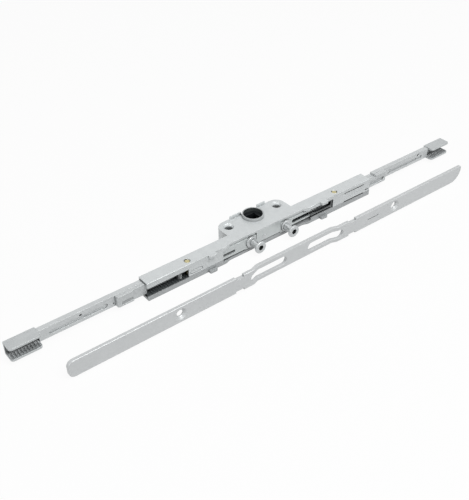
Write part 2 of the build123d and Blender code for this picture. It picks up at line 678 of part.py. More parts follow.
def make_cam_stud(side):
    """The stem and mushroom head, with a hexagon socket."""
    x = front_x(side, CAM_PLACE - CAM_ECCENTRICITY)
    stem = along_depth(x, CAM_HEIGHT, STEM_RADIUS, -HEAD_REACH + HEAD_THICKNESS / 2, BAR_BACK)
    head = along_depth(x, CAM_HEIGHT, HEAD_RADIUS, -HEAD_REACH, -HEAD_REACH + HEAD_THICKNESS)
    head = chamfer(head.edges(), HEAD_EDGE / 2)
    key = extrude(RegularPolygon(KEY_WIDTH / 2, 6, major_radius=False), amount=KEY_DEPTH)
    key = Pos(x, depth_y(-HEAD_REACH), height_z(CAM_HEIGHT)) * Rot(-90, 0, 0) * key
    return stem + head - key


# Rods, shoes and couplings
def foot_rivet(side, front, back):
    return along_depth(side * (BAR_OUTER_END - BAR_FOOT / 2), FOOT_RIVET, FIXING_RADIUS, front, back)


def shoe_rivet(side, front, back):
    return along_depth(side * (SHOE_STEP + SHOE_INNER_END) / 2, ROD_MIDDLE, FIXING_RADIUS, front, back)


def coupling_rivet(side, radius, front, back):
    return along_depth(side * (COUPLING_START + TONGUE_LENGTH / 2), ROD_MIDDLE, radius, front, back)


def neck(side):
    """The cut that lowers the top of the right rod and its shoe beside the case."""
    start, end = side * (SHOE_INNER_END - CUT), side * (HALF_CASE + NECK_REACH)
    return block(start, end, SHOE_FRONT - CUT, ROD_BACK + CUT, ROD_TOP - NECK_DROP, ROD_TOP + CUT)


def rod_body(side):
    """A flat rod with a grooved front, and a thin tongue that lies at the back of the coupling."""
    tongue_bottom = COUPLING_BOTTOM + COUPLING_FLANGE + SERRATION_HEIGHT + TONGUE_MARGIN
    tongue_top = COUPLING_BOTTOM + COUPLING_HEIGHT - COUPLING_FLANGE - TONGUE_MARGIN
    front, start = ROD_DEPTH - CUT, BAR_OUTER_END - BAR_FOOT
    body = block(side * start, side * COUPLING_START, ROD_DEPTH, ROD_BACK, ROD_BOTTOM, ROD_TOP)
    body += block(side * (COUPLING_START - CUT), side * (COUPLING_START + TONGUE_LENGTH),
                  ROD_BACK - TONGUE_THICKNESS, ROD_BACK, tongue_bottom, tongue_top)
    inner, outer = HALF_CASE + GROOVE_INNER_REACH, HALF_CASE + GROOVE_OUTER_REACH
    body -= slot_front(side * (inner - GROOVE_EYE), side * outer, GROOVE_HEIGHT, GROOVE_WIDTH,
                       front, ROD_DEPTH + GROOVE_DEPTH)
    body -= along_depth(side * inner, GROOVE_HEIGHT, GROOVE_EYE, front, ROD_DEPTH + GROOVE_DEPTH)
    body -= [foot_rivet(side, front, ROD_BACK), shoe_rivet(side, front, ROD_BACK)]
    return body - coupling_rivet(side, FIXING_RADIUS, front, ROD_BACK)


def make_left_rod():
    body, front = rod_body(-1), ROD_DEPTH - CUT
    hole, dot = HALF_CASE + LEFT_HOLE_REACH, HALF_CASE + LEFT_DOT_REACH
    body -= along_depth(-hole, LEFT_HOLE_HEIGHT, ROD_HOLE, front, ROD_BACK + CUT)
    return body - along_depth(-dot, LEFT_DOT_HEIGHT, ROD_DOT, front, ROD_DEPTH + ROD_DOT_DEPTH)


def make_right_rod():
    """The right rod is lower beside the case, and its hole is countersunk."""
    body, front = rod_body(1), ROD_DEPTH - CUT
    hole, dot = HALF_CASE + RIGHT_HOLE_REACH, HALF_CASE + RIGHT_DOT_REACH
    body -= along_depth(hole, RIGHT_HOLE_HEIGHT, ROD_HOLE, front, ROD_BACK + CUT)
    body -= sink_front(hole, RIGHT_HOLE_HEIGHT, ROD_HOLE, ROD_SINK, ROD_SINK - ROD_HOLE, ROD_DEPTH)
    body -= along_depth(dot, RIGHT_DOT_HEIGHT, ROD_DOT, front, ROD_DEPTH + ROD_DOT_DEPTH)
    return body - neck(1)


def shoe_body(side, panel_back, panel_top):
    """A guide shoe on the front of a rod, with a panel sunk along it."""
    body = block(side * SHOE_INNER_END, side * SHOE_OUTER_END, SHOE_FRONT, ROD_DEPTH, ROD_BOTTOM, ROD_TOP)
    edges = body.edges().filter_by(Axis.Z).group_by(Axis.Y)[0]
    body = fillet(edges.sort_by(Axis.X)[-1 if side > 0 else 0], SHOE_EDGE)
    body -= block(side * (SHOE_INNER_END - CUT), side * (SHOE_OUTER_END - 2 * SHOE_EDGE), SHOE_FRONT - CUT,
                  panel_back, SHOE_PANEL_BOTTOM, panel_top)
    return body - shoe_rivet(side, ROD_DEPTH - FIXING_HEAD, ROD_DEPTH)


def make_left_shoe():
    """The left shoe. Its inner part is set back."""
    body = shoe_body(-1, SHOE_FRONT + LEFT_PANEL_DEPTH, LEFT_PANEL_TOP)
    return body - block(-SHOE_STEP, CUT - SHOE_INNER_END, SHOE_FRONT - CUT, SHOE_FRONT + SHOE_SET_BACK, 0,
                        CASE_HEIGHT)


def make_right_shoe():
    return shoe_body(1, SHOE_FRONT + RIGHT_PANEL_DEPTH, RIGHT_PANEL_TOP) - neck(1)


def coupling_serrations(x0):
    """Rounded ridges across the lower flange, from the web to a plain lip at the front."""
    count = int(COUPLING_LENGTH // SERRATION_PITCH)
    height = COUPLING_BOTTOM + COUPLING_FLANGE + SERRATION_HEIGHT - SERRATION_RADIUS
    back = COUPLING_FRONT + COUPLING_DEPTH - COUPLING_WEB / 2
    places = [x0 + (index + 1 / 2) * SERRATION_PITCH for index in range(count)]
    return [along_depth(x, height, SERRATION_RADIUS, COUPLING_FRONT + SERRATION_LIP, back) for x in places]


def make_coupling(side):
    """A channel open towards the front, with serrations that grip the extension rod."""
    x0 = COUPLING_START if side > 0 else -COUPLING_END
    back, top = COUPLING_FRONT + COUPLING_DEPTH, COUPLING_BOTTOM + COUPLING_HEIGHT
    body = block(x0, x0 + COUPLING_LENGTH, COUPLING_FRONT, back, COUPLING_BOTTOM, top)
    body = fillet(body.edges().filter_by(Axis.Z).group_by(Axis.Y)[0], COUPLING_CORNER)
    body -= block(x0 - CUT, x0 + COUPLING_LENGTH + CUT, COUPLING_FRONT - CUT, back - COUPLING_WEB,
                  COUPLING_BOTTOM + COUPLING_FLANGE, top - COUPLING_FLANGE)
    body += coupling_serrations(x0)
    return body - coupling_rivet(side, FIXING_RADIUS, 0, back)


def make_rod_rivets(side):
    """The rivets of one rod: in the bar's foot, in the shoe, and with a low head in the coupling."""
    front = ROD_BACK - TONGUE_THICKNESS
    head = coupling_rivet(side, FIXING_HEAD, front - FIXING_HEAD_THICKNESS, front)
    head = chamfer(head.edges().group_by(Axis.Y)[0], FIXING_HEAD_THICKNESS / 2)
    web_back = COUPLING_FRONT + COUPLING_DEPTH
    shank = coupling_rivet(side, FIXING_RADIUS, front - FIXING_HEAD_THICKNESS / 2, web_back)
    foot, shoe = foot_rivet(side, ROD_DEPTH, ROD_BACK), shoe_rivet(side, ROD_DEPTH - FIXING_HEAD, ROD_BACK)
    return Compound([foot, shoe, head + shank])


# Glide strips
def make_glide(x0, x1, depth0):
    """A ribbed strip on the floor of the case, under a rod."""
    top = FLOOR_THICKNESS + GLIDE_HEIGHT
    body = block(x0, x1, depth0, CASE_DEPTH - BACK_WALL, FLOOR_THICKNESS, top)
    for index in range(1, int((x1 - x0) // GLIDE_RIB_PITCH)):
        x = x0 + index * GLIDE_RIB_PITCH
        body -= block(x, x + GLIDE_RIB_PITCH / 2, 0, CASE_DEPTH, top - GLIDE_RIB_DEPTH, top + CUT)
    return body


def make_left_glide():
    body = make_glide(-HALF_CASE + CUT, -LEFT_WINDOW_START, WINDOW_LIP_DEPTH + SLIDE_GAP)
    reach = POST_WIDTH / 2 + SLIDE_GAP
    return body - block(-POST_PLACE - reach, -POST_PLACE + reach, POST_DEPTH - reach, POST_DEPTH + reach,
                        0, CASE_HEIGHT)


def make_right_glide():
    """Wide beyond the reach of the bar's low part, and narrow behind it."""
    body = make_glide(RIGHT_GLIDE_START, CAM_OPENING_RIGHT, FRONT_WALL + SLIDE_GAP)
    return body - block(0, RAIL_START + BAR_STROKE + SLIDE_GAP, 0, ARM_BACK + SLIDE_GAP, 0, CASE_HEIGHT)


# Faceplate
def rounded_ends(body):
    """The left end has two equal corners. The right end is cut on a wide curve below."""
    edges = body.edges().filter_by(Axis.Y).sort_by(Axis.X)
    low_right, high_right = edges[-2:].sort_by(Axis.Z)
    body = fillet(edges[:2], FACE_CORNER)
    body = fillet(same_edge(body, low_right), FACE_END_CORNER)
    return fillet(same_edge(body, high_right), FACE_END_EDGE)


def same_edge(body, wanted):
    """The edge of a changed body that lies where the wanted edge lay."""
    return body.edges().sort_by_distance(wanted.center())[0]


def make_faceplate():
    """The long plate with rounded ends, its joggled middle, two cam slots and four notches."""
    left, right, jog, run = FACE_LEFT_REACH, FACE_RIGHT_REACH, JOGGLE_HALF_WIDTH, JOGGLE_RUN
    thick, back = FACE_THICKNESS, JOGGLE_DEPTH
    outline = [(-left, 0), (-jog, 0), (run - jog, back), (jog - run, back), (jog, 0), (right, 0),
               (right, thick), (jog, thick), (jog - run, thick + back), (run - jog, thick + back),
               (-jog, thick), (-left, thick)]
    place = Pos(0, depth_y(-FACE_LIFT - FACE_THICKNESS), height_z(FACE_BOTTOM))
    body = rounded_ends(place * extruded(outline, FACE_HEIGHT))
    shortest = right - jog - 2 * FACE_END_CORNER
    long_edges = body.edges().filter_by(Axis.X).filter_by(lambda edge: edge.length > shortest)
    body = fillet(long_edges, EDGE)
    front, behind = -FACE_LIFT - 2 * FACE_THICKNESS, -FACE_LIFT + 2 * FACE_THICKNESS
    top, middle = FACE_BOTTOM + FACE_HEIGHT, FACE_BOTTOM + FACE_HEIGHT / 2
    for side in (-1, 1):
        body -= slot_front(front_x(side, FACE_SLOT_START), front_x(side, FACE_SLOT_END), FACE_SLOT_HEIGHT,
                           FACE_SLOT_WIDTH, front, behind)
        reach = LUG_LENGTH / 2 + NOTCH_GAP
        low, high = front_x(side, LUG_PLACE) - reach, front_x(side, LUG_PLACE) + reach
        body -= block(low, high, front, behind, FACE_BOTTOM - CUT, FACE_BOTTOM + NOTCH_DEPTH)
        body -= block(low, high, front, behind, top - NOTCH_DEPTH, top + CUT)
        screw = side * FACE_SCREW_PLACE
        body -= along_depth(screw, middle, FACE_SCREW_HOLE, front, behind)
        body -= sink_front(screw, middle, FACE_SCREW_HOLE, FACE_SCREW_SINK, FACE_SCREW_SINK_DEPTH,
                           -FACE_LIFT - FACE_THICKNESS)
    mark_back = -FACE_LIFT - FACE_THICKNESS + FACE_MARK_DEPTH
    half_mark = FACE_MARK_WIDTH / 2
    body -= block(FACE_MARK_START, FACE_MARK_END, front, mark_back, FACE_MARK_HEIGHT - half_mark,
                  FACE_MARK_HEIGHT + half_mark)
    return body - along_depth(FACE_MARK_END, FACE_MARK_HEIGHT, FACE_MARK_DOT, front, mark_back)


PARTS = {
    "upper_case": make_upper_case,
    "lower_case": make_lower_case,
    "case_rivets": make_case_rivets,
    "centre_bridge": make_centre_bridge,
    "pinion_pin": make_pinion_pin,
    "reversing_pinion": make_reversing_pinion,
    "follower_hub": make_follower_hub,
    "left_drive_bar": make_left_drive_bar,
    "right_drive_bar": make_right_drive_bar,
    "left_cam_bush": lambda: make_cam_bush(-1),
    "right_cam_bush": lambda: make_cam_bush(1),
    "left_cam_stud": lambda: make_cam_stud(-1),
    "right_cam_stud": lambda: make_cam_stud(1),
    "left_rod": make_left_rod,
    "right_rod": make_right_rod,
    "left_shoe": make_left_shoe,
    "right_shoe": make_right_shoe,
    "left_coupling": lambda: make_coupling(-1),
    "right_coupling": lambda: make_coupling(1),
    "left_rod_rivets": lambda: make_rod_rivets(-1),
    "right_rod_rivets": lambda: make_rod_rivets(1),
    "left_glide": make_left_glide,
    "right_glide": make_right_glide,
    "faceplate": make_faceplate,
}

os.makedirs("parts", exist_ok=True)
for name, make in PARTS.items():
    export_step(make(), f"parts/{name}.step")
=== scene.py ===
"""Dresses the window espagnolette gearbox: rounded arrises, finishes, studio and camera.

Everything is in metres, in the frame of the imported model: +X along the bars, -Y out
through the faceplate, +Z along the spindle towards the handle.
"""

import logging
import math
from dataclasses import dataclass, field
from enum import Enum
from functools import cache

import bmesh
import bpy
from mathutils import Matrix, Vector


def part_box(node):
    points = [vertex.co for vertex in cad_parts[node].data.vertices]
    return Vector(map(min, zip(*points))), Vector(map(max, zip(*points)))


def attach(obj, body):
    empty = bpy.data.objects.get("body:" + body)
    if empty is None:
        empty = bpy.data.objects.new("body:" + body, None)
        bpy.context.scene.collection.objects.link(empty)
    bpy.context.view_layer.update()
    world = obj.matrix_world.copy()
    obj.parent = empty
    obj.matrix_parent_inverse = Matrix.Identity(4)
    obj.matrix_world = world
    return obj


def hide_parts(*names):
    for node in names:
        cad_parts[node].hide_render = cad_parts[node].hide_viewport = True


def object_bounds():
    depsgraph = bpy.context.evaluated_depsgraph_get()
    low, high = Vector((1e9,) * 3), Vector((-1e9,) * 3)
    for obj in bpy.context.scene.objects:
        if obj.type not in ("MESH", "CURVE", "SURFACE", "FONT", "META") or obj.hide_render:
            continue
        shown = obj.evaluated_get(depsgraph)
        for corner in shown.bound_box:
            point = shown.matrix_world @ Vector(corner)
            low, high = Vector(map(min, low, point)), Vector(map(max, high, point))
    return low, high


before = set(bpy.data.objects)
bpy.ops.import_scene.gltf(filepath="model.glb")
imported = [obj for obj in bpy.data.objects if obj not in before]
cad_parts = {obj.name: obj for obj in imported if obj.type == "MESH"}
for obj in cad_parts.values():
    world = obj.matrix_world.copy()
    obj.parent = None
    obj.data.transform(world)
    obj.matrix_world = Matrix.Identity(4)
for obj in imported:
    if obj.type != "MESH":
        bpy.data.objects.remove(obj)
CAD_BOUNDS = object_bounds()

MM = 0.001
WHITE = (1.0, 1.0, 1.0, 1.0)
LOG = logging.getLogger("gearbox")

Colour = tuple[float, float, float]
Point = tuple[float, float, float]
Span = tuple[float, float]


class Side(Enum):
    """The two ends of the gearbox, as seen from the faceplate."""

    LEFT = "left"
    RIGHT = "right"


class Grain(Enum):
    """How the fine grain of a surface runs, as the stretch of its noise along X, Y and Z."""

    CAST = (1.0, 1.0, 1.0)
    ROLLED = (0.08, 1.0, 1.0)
    TURNED = (1.0, 0.12, 1.0)


class NodeGraph:
    """A small builder for the node tree of a material or of the world."""

    WHOLE: Span = (0.0, 1.0)
    EDGE_SPAN: Span = (0.80, 0.99)
    EDGE_SAMPLES = 6
    CREVICE_SAMPLES = 8

    def __init__(self, owner: bpy.types.Material | bpy.types.World) -> None:
        """Starts an empty tree.

        Args:
            owner: The material or the world.
        """
        owner.use_nodes = True
        self.tree = owner.node_tree
        self.tree.nodes.clear()

    def add(self, kind: str, **settings: object) -> bpy.types.Node:
        """Adds a node and sets its properties.

        Args:
            kind: The node's type name, without its ShaderNode prefix.
            **settings: Properties of the node.

        Returns:
            The new node.
        """
        node = self.tree.nodes.new(f"ShaderNode{kind}")
        for name, value in settings.items():
            setattr(node, name, value)
        return node

    def link(self, source: bpy.types.NodeSocket, target: bpy.types.NodeSocket) -> None:
        """Joins an output to an input."""
        self.tree.links.new(source, target)

    def noise(self, vector: bpy.types.NodeSocket, size: float,
              detail: float) -> bpy.types.NodeSocket:
        """Adds a noise whose features are about one size.

        Args:
            vector: The coordinates.
            size: The features' size in metres.
            detail: How many finer layers lie on it.

        Returns:
            The noise's value, from 0 to 1.
        """
        node = self.add("TexNoise")
        node.inputs["Scale"].default_value = 1.0 / size
        node.inputs["Detail"].default_value = detail
        self.link(vector, node.inputs["Vector"])
        return node.outputs["Fac"]

    def span(self, value: bpy.types.NodeSocket, low: float, high: float,
             source: Span = WHOLE) -> bpy.types.NodeSocket:
        """Maps a span of a value onto another span, and clamps it.

        Args:
            value: The value.
            low: What the start of the source becomes.
            high: What the end of the source becomes.
            source: Where the span of the value starts and ends.

        Returns:
            The mapped value.
        """
        start, end = source
        node = self.add("MapRange")
        node.inputs["From Min"].default_value = start
        node.inputs["From Max"].default_value = end
        node.inputs["To Min"].default_value = low
        node.inputs["To Max"].default_value = high
        self.link(value, node.inputs["Value"])
        return node.outputs["Result"]

    def mix(self, factor: bpy.types.NodeSocket, first: Colour | bpy.types.NodeSocket,
            second: Colour | bpy.types.NodeSocket) -> bpy.types.NodeSocket:
        """Mixes two colours.

        Args:
            factor: How much of the second colour shows.
            first: A colour, or the socket of one.
            second: A colour, or the socket of one.

        Returns:
            The mixed colour.
        """
        node = self.add("Mix", data_type="RGBA")
        self.link(factor, node.inputs["Factor"])
        for name, value in (("A", first), ("B", second)):
            socket = next(s for s in node.inputs if s.name == name and s.type == "RGBA")
            if isinstance(value, bpy.types.NodeSocket):
                self.link(value, socket)
            else:
                socket.default_value = (*value, 1.0)
        return next(s for s in node.outputs if s.type == "RGBA")

    def choose(self, share: bpy.types.NodeSocket, first: bpy.types.Node,
               second: bpy.types.Node) -> bpy.types.NodeSocket:
        """Shows one shader where the share is 0 and another where it is 1.

        Args:
            share: How much of the second shader shows.
            first: The first shader.
            second: The second shader.

        Returns:
            The mixed shader.
        """
        mixed = self.add("MixShader")
        for place, source in enumerate((share, first.outputs[0], second.outputs[0])):
            self.link(source, mixed.inputs[place])
        return mixed.outputs[0]

    def coordinates(self, grain: Grain) -> tuple[bpy.types.NodeSocket, bpy.types.NodeSocket]:
        """Gives the object's own coordinates, plain and stretched along the grain.

        Args:
            grain: How the grain runs.

        Returns:
            The plain and the stretched coordinates.
        """
        place = self.add("TexCoord").outputs["Object"]
        mapping = self.add("Mapping")
        mapping.inputs["Scale"].default_value = grain.value
        self.link(place, mapping.inputs["Vector"])
        return place, mapping.outputs["Vector"]

    def edge_mask(self, width: float, tone: float) -> bpy.types.NodeSocket:
        """Shows the outer edges of a piece against its open faces.

        Args:
            width: How far from an edge the mask reaches, in metres.
            tone: The mask along an edge. It is 0 on open faces.

        Returns:
            The mask.
        """
        bevel = self.add("Bevel", samples=self.EDGE_SAMPLES)
        bevel.inputs["Radius"].default_value = width
        normal = self.add("NewGeometry").outputs["Normal"]
        product = self.add("VectorMath", operation="DOT_PRODUCT")
        self.link(bevel.outputs["Normal"], product.inputs[0])
        self.link(normal, product.inputs[1])
        edges = self.span(product.outputs["Value"], 1.0, 0.0, self.EDGE_SPAN)
        return self.span(edges, 0.0, tone)

    def crevice_mask(self, reach: float, source: Span) -> bpy.types.NodeSocket:
        """Gives 0 on open faces and up to 1 in corners and gaps.

        Args:
            reach: How far away the neighbouring surfaces count, in metres.
            source: How open a place is where the mask is 1, and where it is 0.

        Returns:
            The mask.
        """
        node = self.add("AmbientOcclusion", samples=self.CREVICE_SAMPLES)
        node.inputs["Distance"].default_value = reach
        return self.span(node.outputs["AO"], 1.0, 0.0, source)

    def relief(self, height: bpy.types.NodeSocket, strength: float, depth: float,
               shader: bpy.types.Node) -> None:
        """Raises the surface by a value.

        Args:
            height: The value.
            strength: How far the relief shows.
            depth: Its depth in metres.
            shader: The shader whose normal it turns.
        """
        bump = self.add("Bump")
        bump.inputs["Strength"].default_value = strength
        bump.inputs["Distance"].default_value = depth
        self.link(height, bump.inputs["Height"])
        self.link(bump.outputs["Normal"], shader.inputs["Normal"])

    def finish(self, shader: bpy.types.NodeSocket, output: str = "OutputMaterial") -> None:
        """Joins a shader to the output."""
        self.link(shader, self.add(output).inputs["Surface"])


@dataclass(frozen=True)
class MetalFinish:
    """A plated, cast or turned metal: cloudy tone and fine grain, with a painted highlight on
    the arrises and painted shade in the recesses.

    The painted shade of gaps and of the inside is a share of the shade colour, the darker
    tone of the grain. A gap is a narrow seam or corner, and the inside is what lies deep
    behind an opening.
    """

    name: str
    colour: Colour
    shade: Colour
    roughness: float = 0.40
    smoother: float = 0.06
    rougher: float = 0.08
    metallic: float = 0.35
    grain: Grain = Grain.CAST
    grain_size: float = 0.35 * MM
    grain_depth: float = 0.012 * MM
    grain_detail: float = 5.0
    grain_span: Span = (0.3, 0.7)
    grain_relief: float = 0.6
    cloud_size: float = 5.0 * MM
    cloud_detail: float = 3.0
    cloud_span: Span = (0.35, 0.65)
    cloud_share: float = 0.55
    # Painted shade in gaps and corners, and deep inside behind openings.
    gap_shade_tone: float = 0.30
    gap_reach: float = 1.6 * MM
    gap_span: Span = (0.10, 0.80)
    inside_shade_tone: float = 0.07
    inside_reach: float = 8.0 * MM
    inside_span: Span = (0.12, 0.45)
    # Painted highlight along the arrises.
    edge_width: float = 0.35 * MM
    highlight_tone: float = 0.9
    highlight_gain: float = 1.25
    highlight_lift: float = 0.05

    def material(self) -> bpy.types.Material:
        """Builds the material.

        Returns:
            The new material.
        """
        material = bpy.data.materials.new(self.name)
        graph = NodeGraph(material)
        plain, stretched = graph.coordinates(self.grain)
        fine = graph.noise(stretched, self.grain_size, self.grain_detail)
        cloud = graph.noise(plain, self.cloud_size, self.cloud_detail)
        grained = graph.mix(graph.span(fine, 0.0, 1.0, self.grain_span), self.shade, self.colour)
        clouds = graph.span(cloud, 0.0, self.cloud_share, self.cloud_span)
        soft = graph.mix(clouds, grained, self.colour)
        # Painted highlight: the arrises are lightened towards the highlight colour.
        edges = graph.edge_mask(self.edge_width, self.highlight_tone)
        edge_lit = graph.mix(edges, soft, self.highlight_colour())
        # Painted shade: occluded corners, gaps and places deep behind an opening are darkened
        # towards a share of the shade colour.
        gaps = graph.crevice_mask(self.gap_reach, self.gap_span)
        inside = graph.crevice_mask(self.inside_reach, self.inside_span)
        gap_shaded = graph.mix(gaps, edge_lit, self.toned(self.gap_shade_tone))
        shader = graph.add("BsdfPrincipled")
        shader.inputs["Metallic"].default_value = self.metallic
        graph.link(graph.mix(inside, gap_shaded, self.toned(self.inside_shade_tone)),
                   shader.inputs["Base Color"])
        rough = graph.span(fine, self.roughness - self.smoother, self.roughness + self.rougher,
                           self.grain_span)
        graph.link(rough, shader.inputs["Roughness"])
        graph.relief(fine, self.grain_relief, self.grain_depth, shader)
        graph.finish(shader.outputs["BSDF"])
        return material

    def toned(self, tone: float) -> Colour:
        """Gives a share of the shade colour, for the painted shade of a recess."""
        return tuple(part * tone for part in self.shade)

    def highlight_colour(self) -> Colour:
        """Gives the brighter colour of the painted highlight on arrises."""
        return tuple(min(1.0, part * self.highlight_gain + self.highlight_lift) for part in self.colour)


@dataclass(frozen=True)
class DullFinish:
    """A black coating, a moulded plastic or an unlit recess, with a fine texture and a painted
    grey highlight on its edges.
    """

    name: str
    colour: Colour
    highlight_colour: Colour
    roughness: float = 0.5
    smoother: float = 0.08
    rougher: float = 0.1
    rough_span: Span = (0.3, 0.7)
    specular: float = 0.5
    grain_size: float = 0.25 * MM
    grain_depth: float = 0.01 * MM
    grain_detail: float = 4.0
    grain_span: Span = (0.35, 0.65)
    grain_gain: float = 1.6
    grain_relief: float = 0.5
    # Painted grey highlight along the edges.
    edge_width: float = 0.2 * MM
    highlight_tone: float = 0.6

    def material(self) -> bpy.types.Material:
        """Builds the material.

        Returns:
            The new material.
        """
        material = bpy.data.materials.new(self.name)
        graph = NodeGraph(material)
        _, place = graph.coordinates(Grain.CAST)
        fine = graph.noise(place, self.grain_size, self.grain_detail)
        lighter = tuple(part * self.grain_gain for part in self.colour)
        tone = graph.mix(graph.span(fine, 0.0, 1.0, self.grain_span), self.colour, lighter)
        # Painted highlight: the edges are lightened towards the grey highlight colour.
        edge_lit = graph.mix(graph.edge_mask(self.edge_width, self.highlight_tone), tone, self.highlight_colour)
        shader = graph.add("BsdfPrincipled")
        shader.inputs["Specular IOR Level"].default_value = self.specular
        graph.link(edge_lit, shader.inputs["Base Color"])
        rough = graph.span(fine, self.roughness - self.smoother, self.roughness + self.rougher,
                           self.rough_span)
        graph.link(rough, shader.inputs["Roughness"])
        graph.relief(fine, self.grain_relief, self.grain_depth, shader)
        graph.finish(shader.outputs["BSDF"])
        return material


Finish = MetalFinish | DullFinish

ZINC_GRAIN = 0.6 * MM

CAST_ZINC = MetalFinish("cast_zinc", (0.60, 0.625, 0.63), (0.50, 0.52, 0.525),
                        grain_size=ZINC_GRAIN)
# A darker zinc: the lower case is darker than the upper case's front, and in the left shoe's sunk
# panel it is painted shade.
DARKER_ZINC = MetalFinish("darker_zinc", (0.38, 0.395, 0.40), (0.30, 0.315, 0.32),
                         grain_size=ZINC_GRAIN, highlight_tone=0.6)
DULL_ZINC = MetalFinish("dull_zinc", (0.53, 0.55, 0.555), (0.43, 0.45, 0.455),
                        grain_size=ZINC_GRAIN, gap_shade_tone=0.22, highlight_tone=0.5)
COUPLING_ZINC = MetalFinish("coupling_zinc", (0.50, 0.52, 0.525), (0.41, 0.43, 0.435),
                            grain_size=ZINC_GRAIN, gap_shade_tone=0.10, gap_reach=2.4 * MM,
                            highlight_tone=0.25)
# Painted shade: the hub collar is painted darker than the case, so its left-front wall looks
# shaded.
COLLAR_SHADE_ZINC = MetalFinish("collar_shade_zinc", (0.43, 0.447, 0.45), (0.35, 0.364, 0.367),
                          grain_size=ZINC_GRAIN, highlight_tone=0.3)
# Painted shade on the ribbed floors inside the couplings.
RIB_SHADE_ZINC = MetalFinish("rib_shade_zinc", (0.30, 0.315, 0.32), (0.24, 0.252, 0.256),
                          grain_size=ZINC_GRAIN, gap_shade_tone=0.10, gap_reach=2.4 * MM,
                          highlight_tone=0.3)
SHADED_ZINC = MetalFinish("shaded_zinc", (0.17, 0.178, 0.18), (0.13, 0.137, 0.14),
                          grain_size=ZINC_GRAIN, highlight_tone=0.3)
PRESSED_STEEL = MetalFinish("pressed_steel", (0.56, 0.59, 0.59), (0.46, 0.49, 0.49),
                            roughness=0.34, grain=Grain.ROLLED, grain_size=0.3 * MM)
TURNED_STEEL = MetalFinish("turned_steel", (0.58, 0.60, 0.605), (0.46, 0.48, 0.485),
                           roughness=0.28, grain=Grain.TURNED, grain_size=0.2 * MM)
ROD_STEEL = MetalFinish("rod_steel", (0.56, 0.58, 0.585), (0.47, 0.49, 0.495), roughness=0.36,
                        grain=Grain.ROLLED, grain_size=0.35 * MM, gap_shade_tone=0.42)
FACEPLATE_STEEL = MetalFinish("faceplate_steel", (0.535, 0.55, 0.555), (0.485, 0.50, 0.505),
                              roughness=0.38, grain=Grain.ROLLED, grain_size=0.22 * MM,
                              cloud_size=12.0 * MM, highlight_tone=0.5)
BRASS = MetalFinish("bright_brass", (0.58, 0.52, 0.29), (0.42, 0.37, 0.18), roughness=0.3,
                    grain_size=0.25 * MM)
BLACK_HUB = DullFinish("black_hub", (0.007, 0.008, 0.009), (0.05, 0.052, 0.055),
                       roughness=0.42, specular=0.15)
# Painted shade: the wall of the hub's bore is near black.
BORE_SHADE = DullFinish("bore_shade", (0.026, 0.030, 0.030), (0.06, 0.065, 0.066),
                        roughness=0.55)
# Black nylon of the glide strips; its black also stands in for the shade inside the case's windows.
BLACK_NYLON_AND_SHADE = DullFinish("black_nylon", (0.035, 0.040, 0.042), (0.09, 0.096, 0.098),
                         roughness=0.5)
# Painted shade: the inside of the hexagon sockets is near black.
SOCKET_SHADE = DullFinish("socket_shade", (0.006, 0.007, 0.007), (0.02, 0.021, 0.022),
                          roughness=0.6)
# Painted shade in the shallow engraved gauge mark.
ENGRAVED_LINE_SHADE = DullFinish("engraved_line_shade", (0.16, 0.17, 0.172), (0.25, 0.26, 0.265),
                           roughness=0.5)


@cache
def material_of(finish: Finish) -> bpy.types.Material:
    """Gives the material of a finish, built once."""
    return finish.material()


def add_object(name: str, data: bpy.types.ID) -> bpy.types.Object:
    """Puts a new object into the scene.

    Args:
        name: The object's name.
        data: Its mesh, lamp or camera.

    Returns:
        The new object.
    """
    new = bpy.data.objects.new(name, data)
    bpy.context.scene.collection.objects.link(new)
    return new


@dataclass(frozen=True)
class Lining:
    """A finish for the faces of a piece that lie inside a box, such as the walls of a socket."""

    finish: Finish
    low: Point
    high: Point

    def holds(self, face: bpy.types.MeshPolygon) -> bool:
        """Tells whether the middle of a face lies inside the box."""
        return all(least <= part <= most
                   for least, part, most in zip(self.low, face.center, self.high))

    def paint(self, mesh: bpy.types.Mesh) -> None:
        """Gives the faces inside the box the finish.

        Args:
            mesh: The piece's mesh.
        """
        mesh.materials.append(material_of(self.finish))
        for face in mesh.polygons:
            if self.holds(face):
                face.material_index = len(mesh.materials) - 1


@dataclass(frozen=True)
class BoreLining(Lining):
    """A finish for the upright faces in a box that lie near the spindle's axis: its bore."""

    radius: float
    steepest: float = 0.5

    def holds(self, face: bpy.types.MeshPolygon) -> bool:
        """Tells whether a face stands upright, inside the box and near the axis."""
        near = math.hypot(face.center.x, face.center.y) < self.radius
        return near and abs(face.normal.z) < self.steepest and super().holds(face)


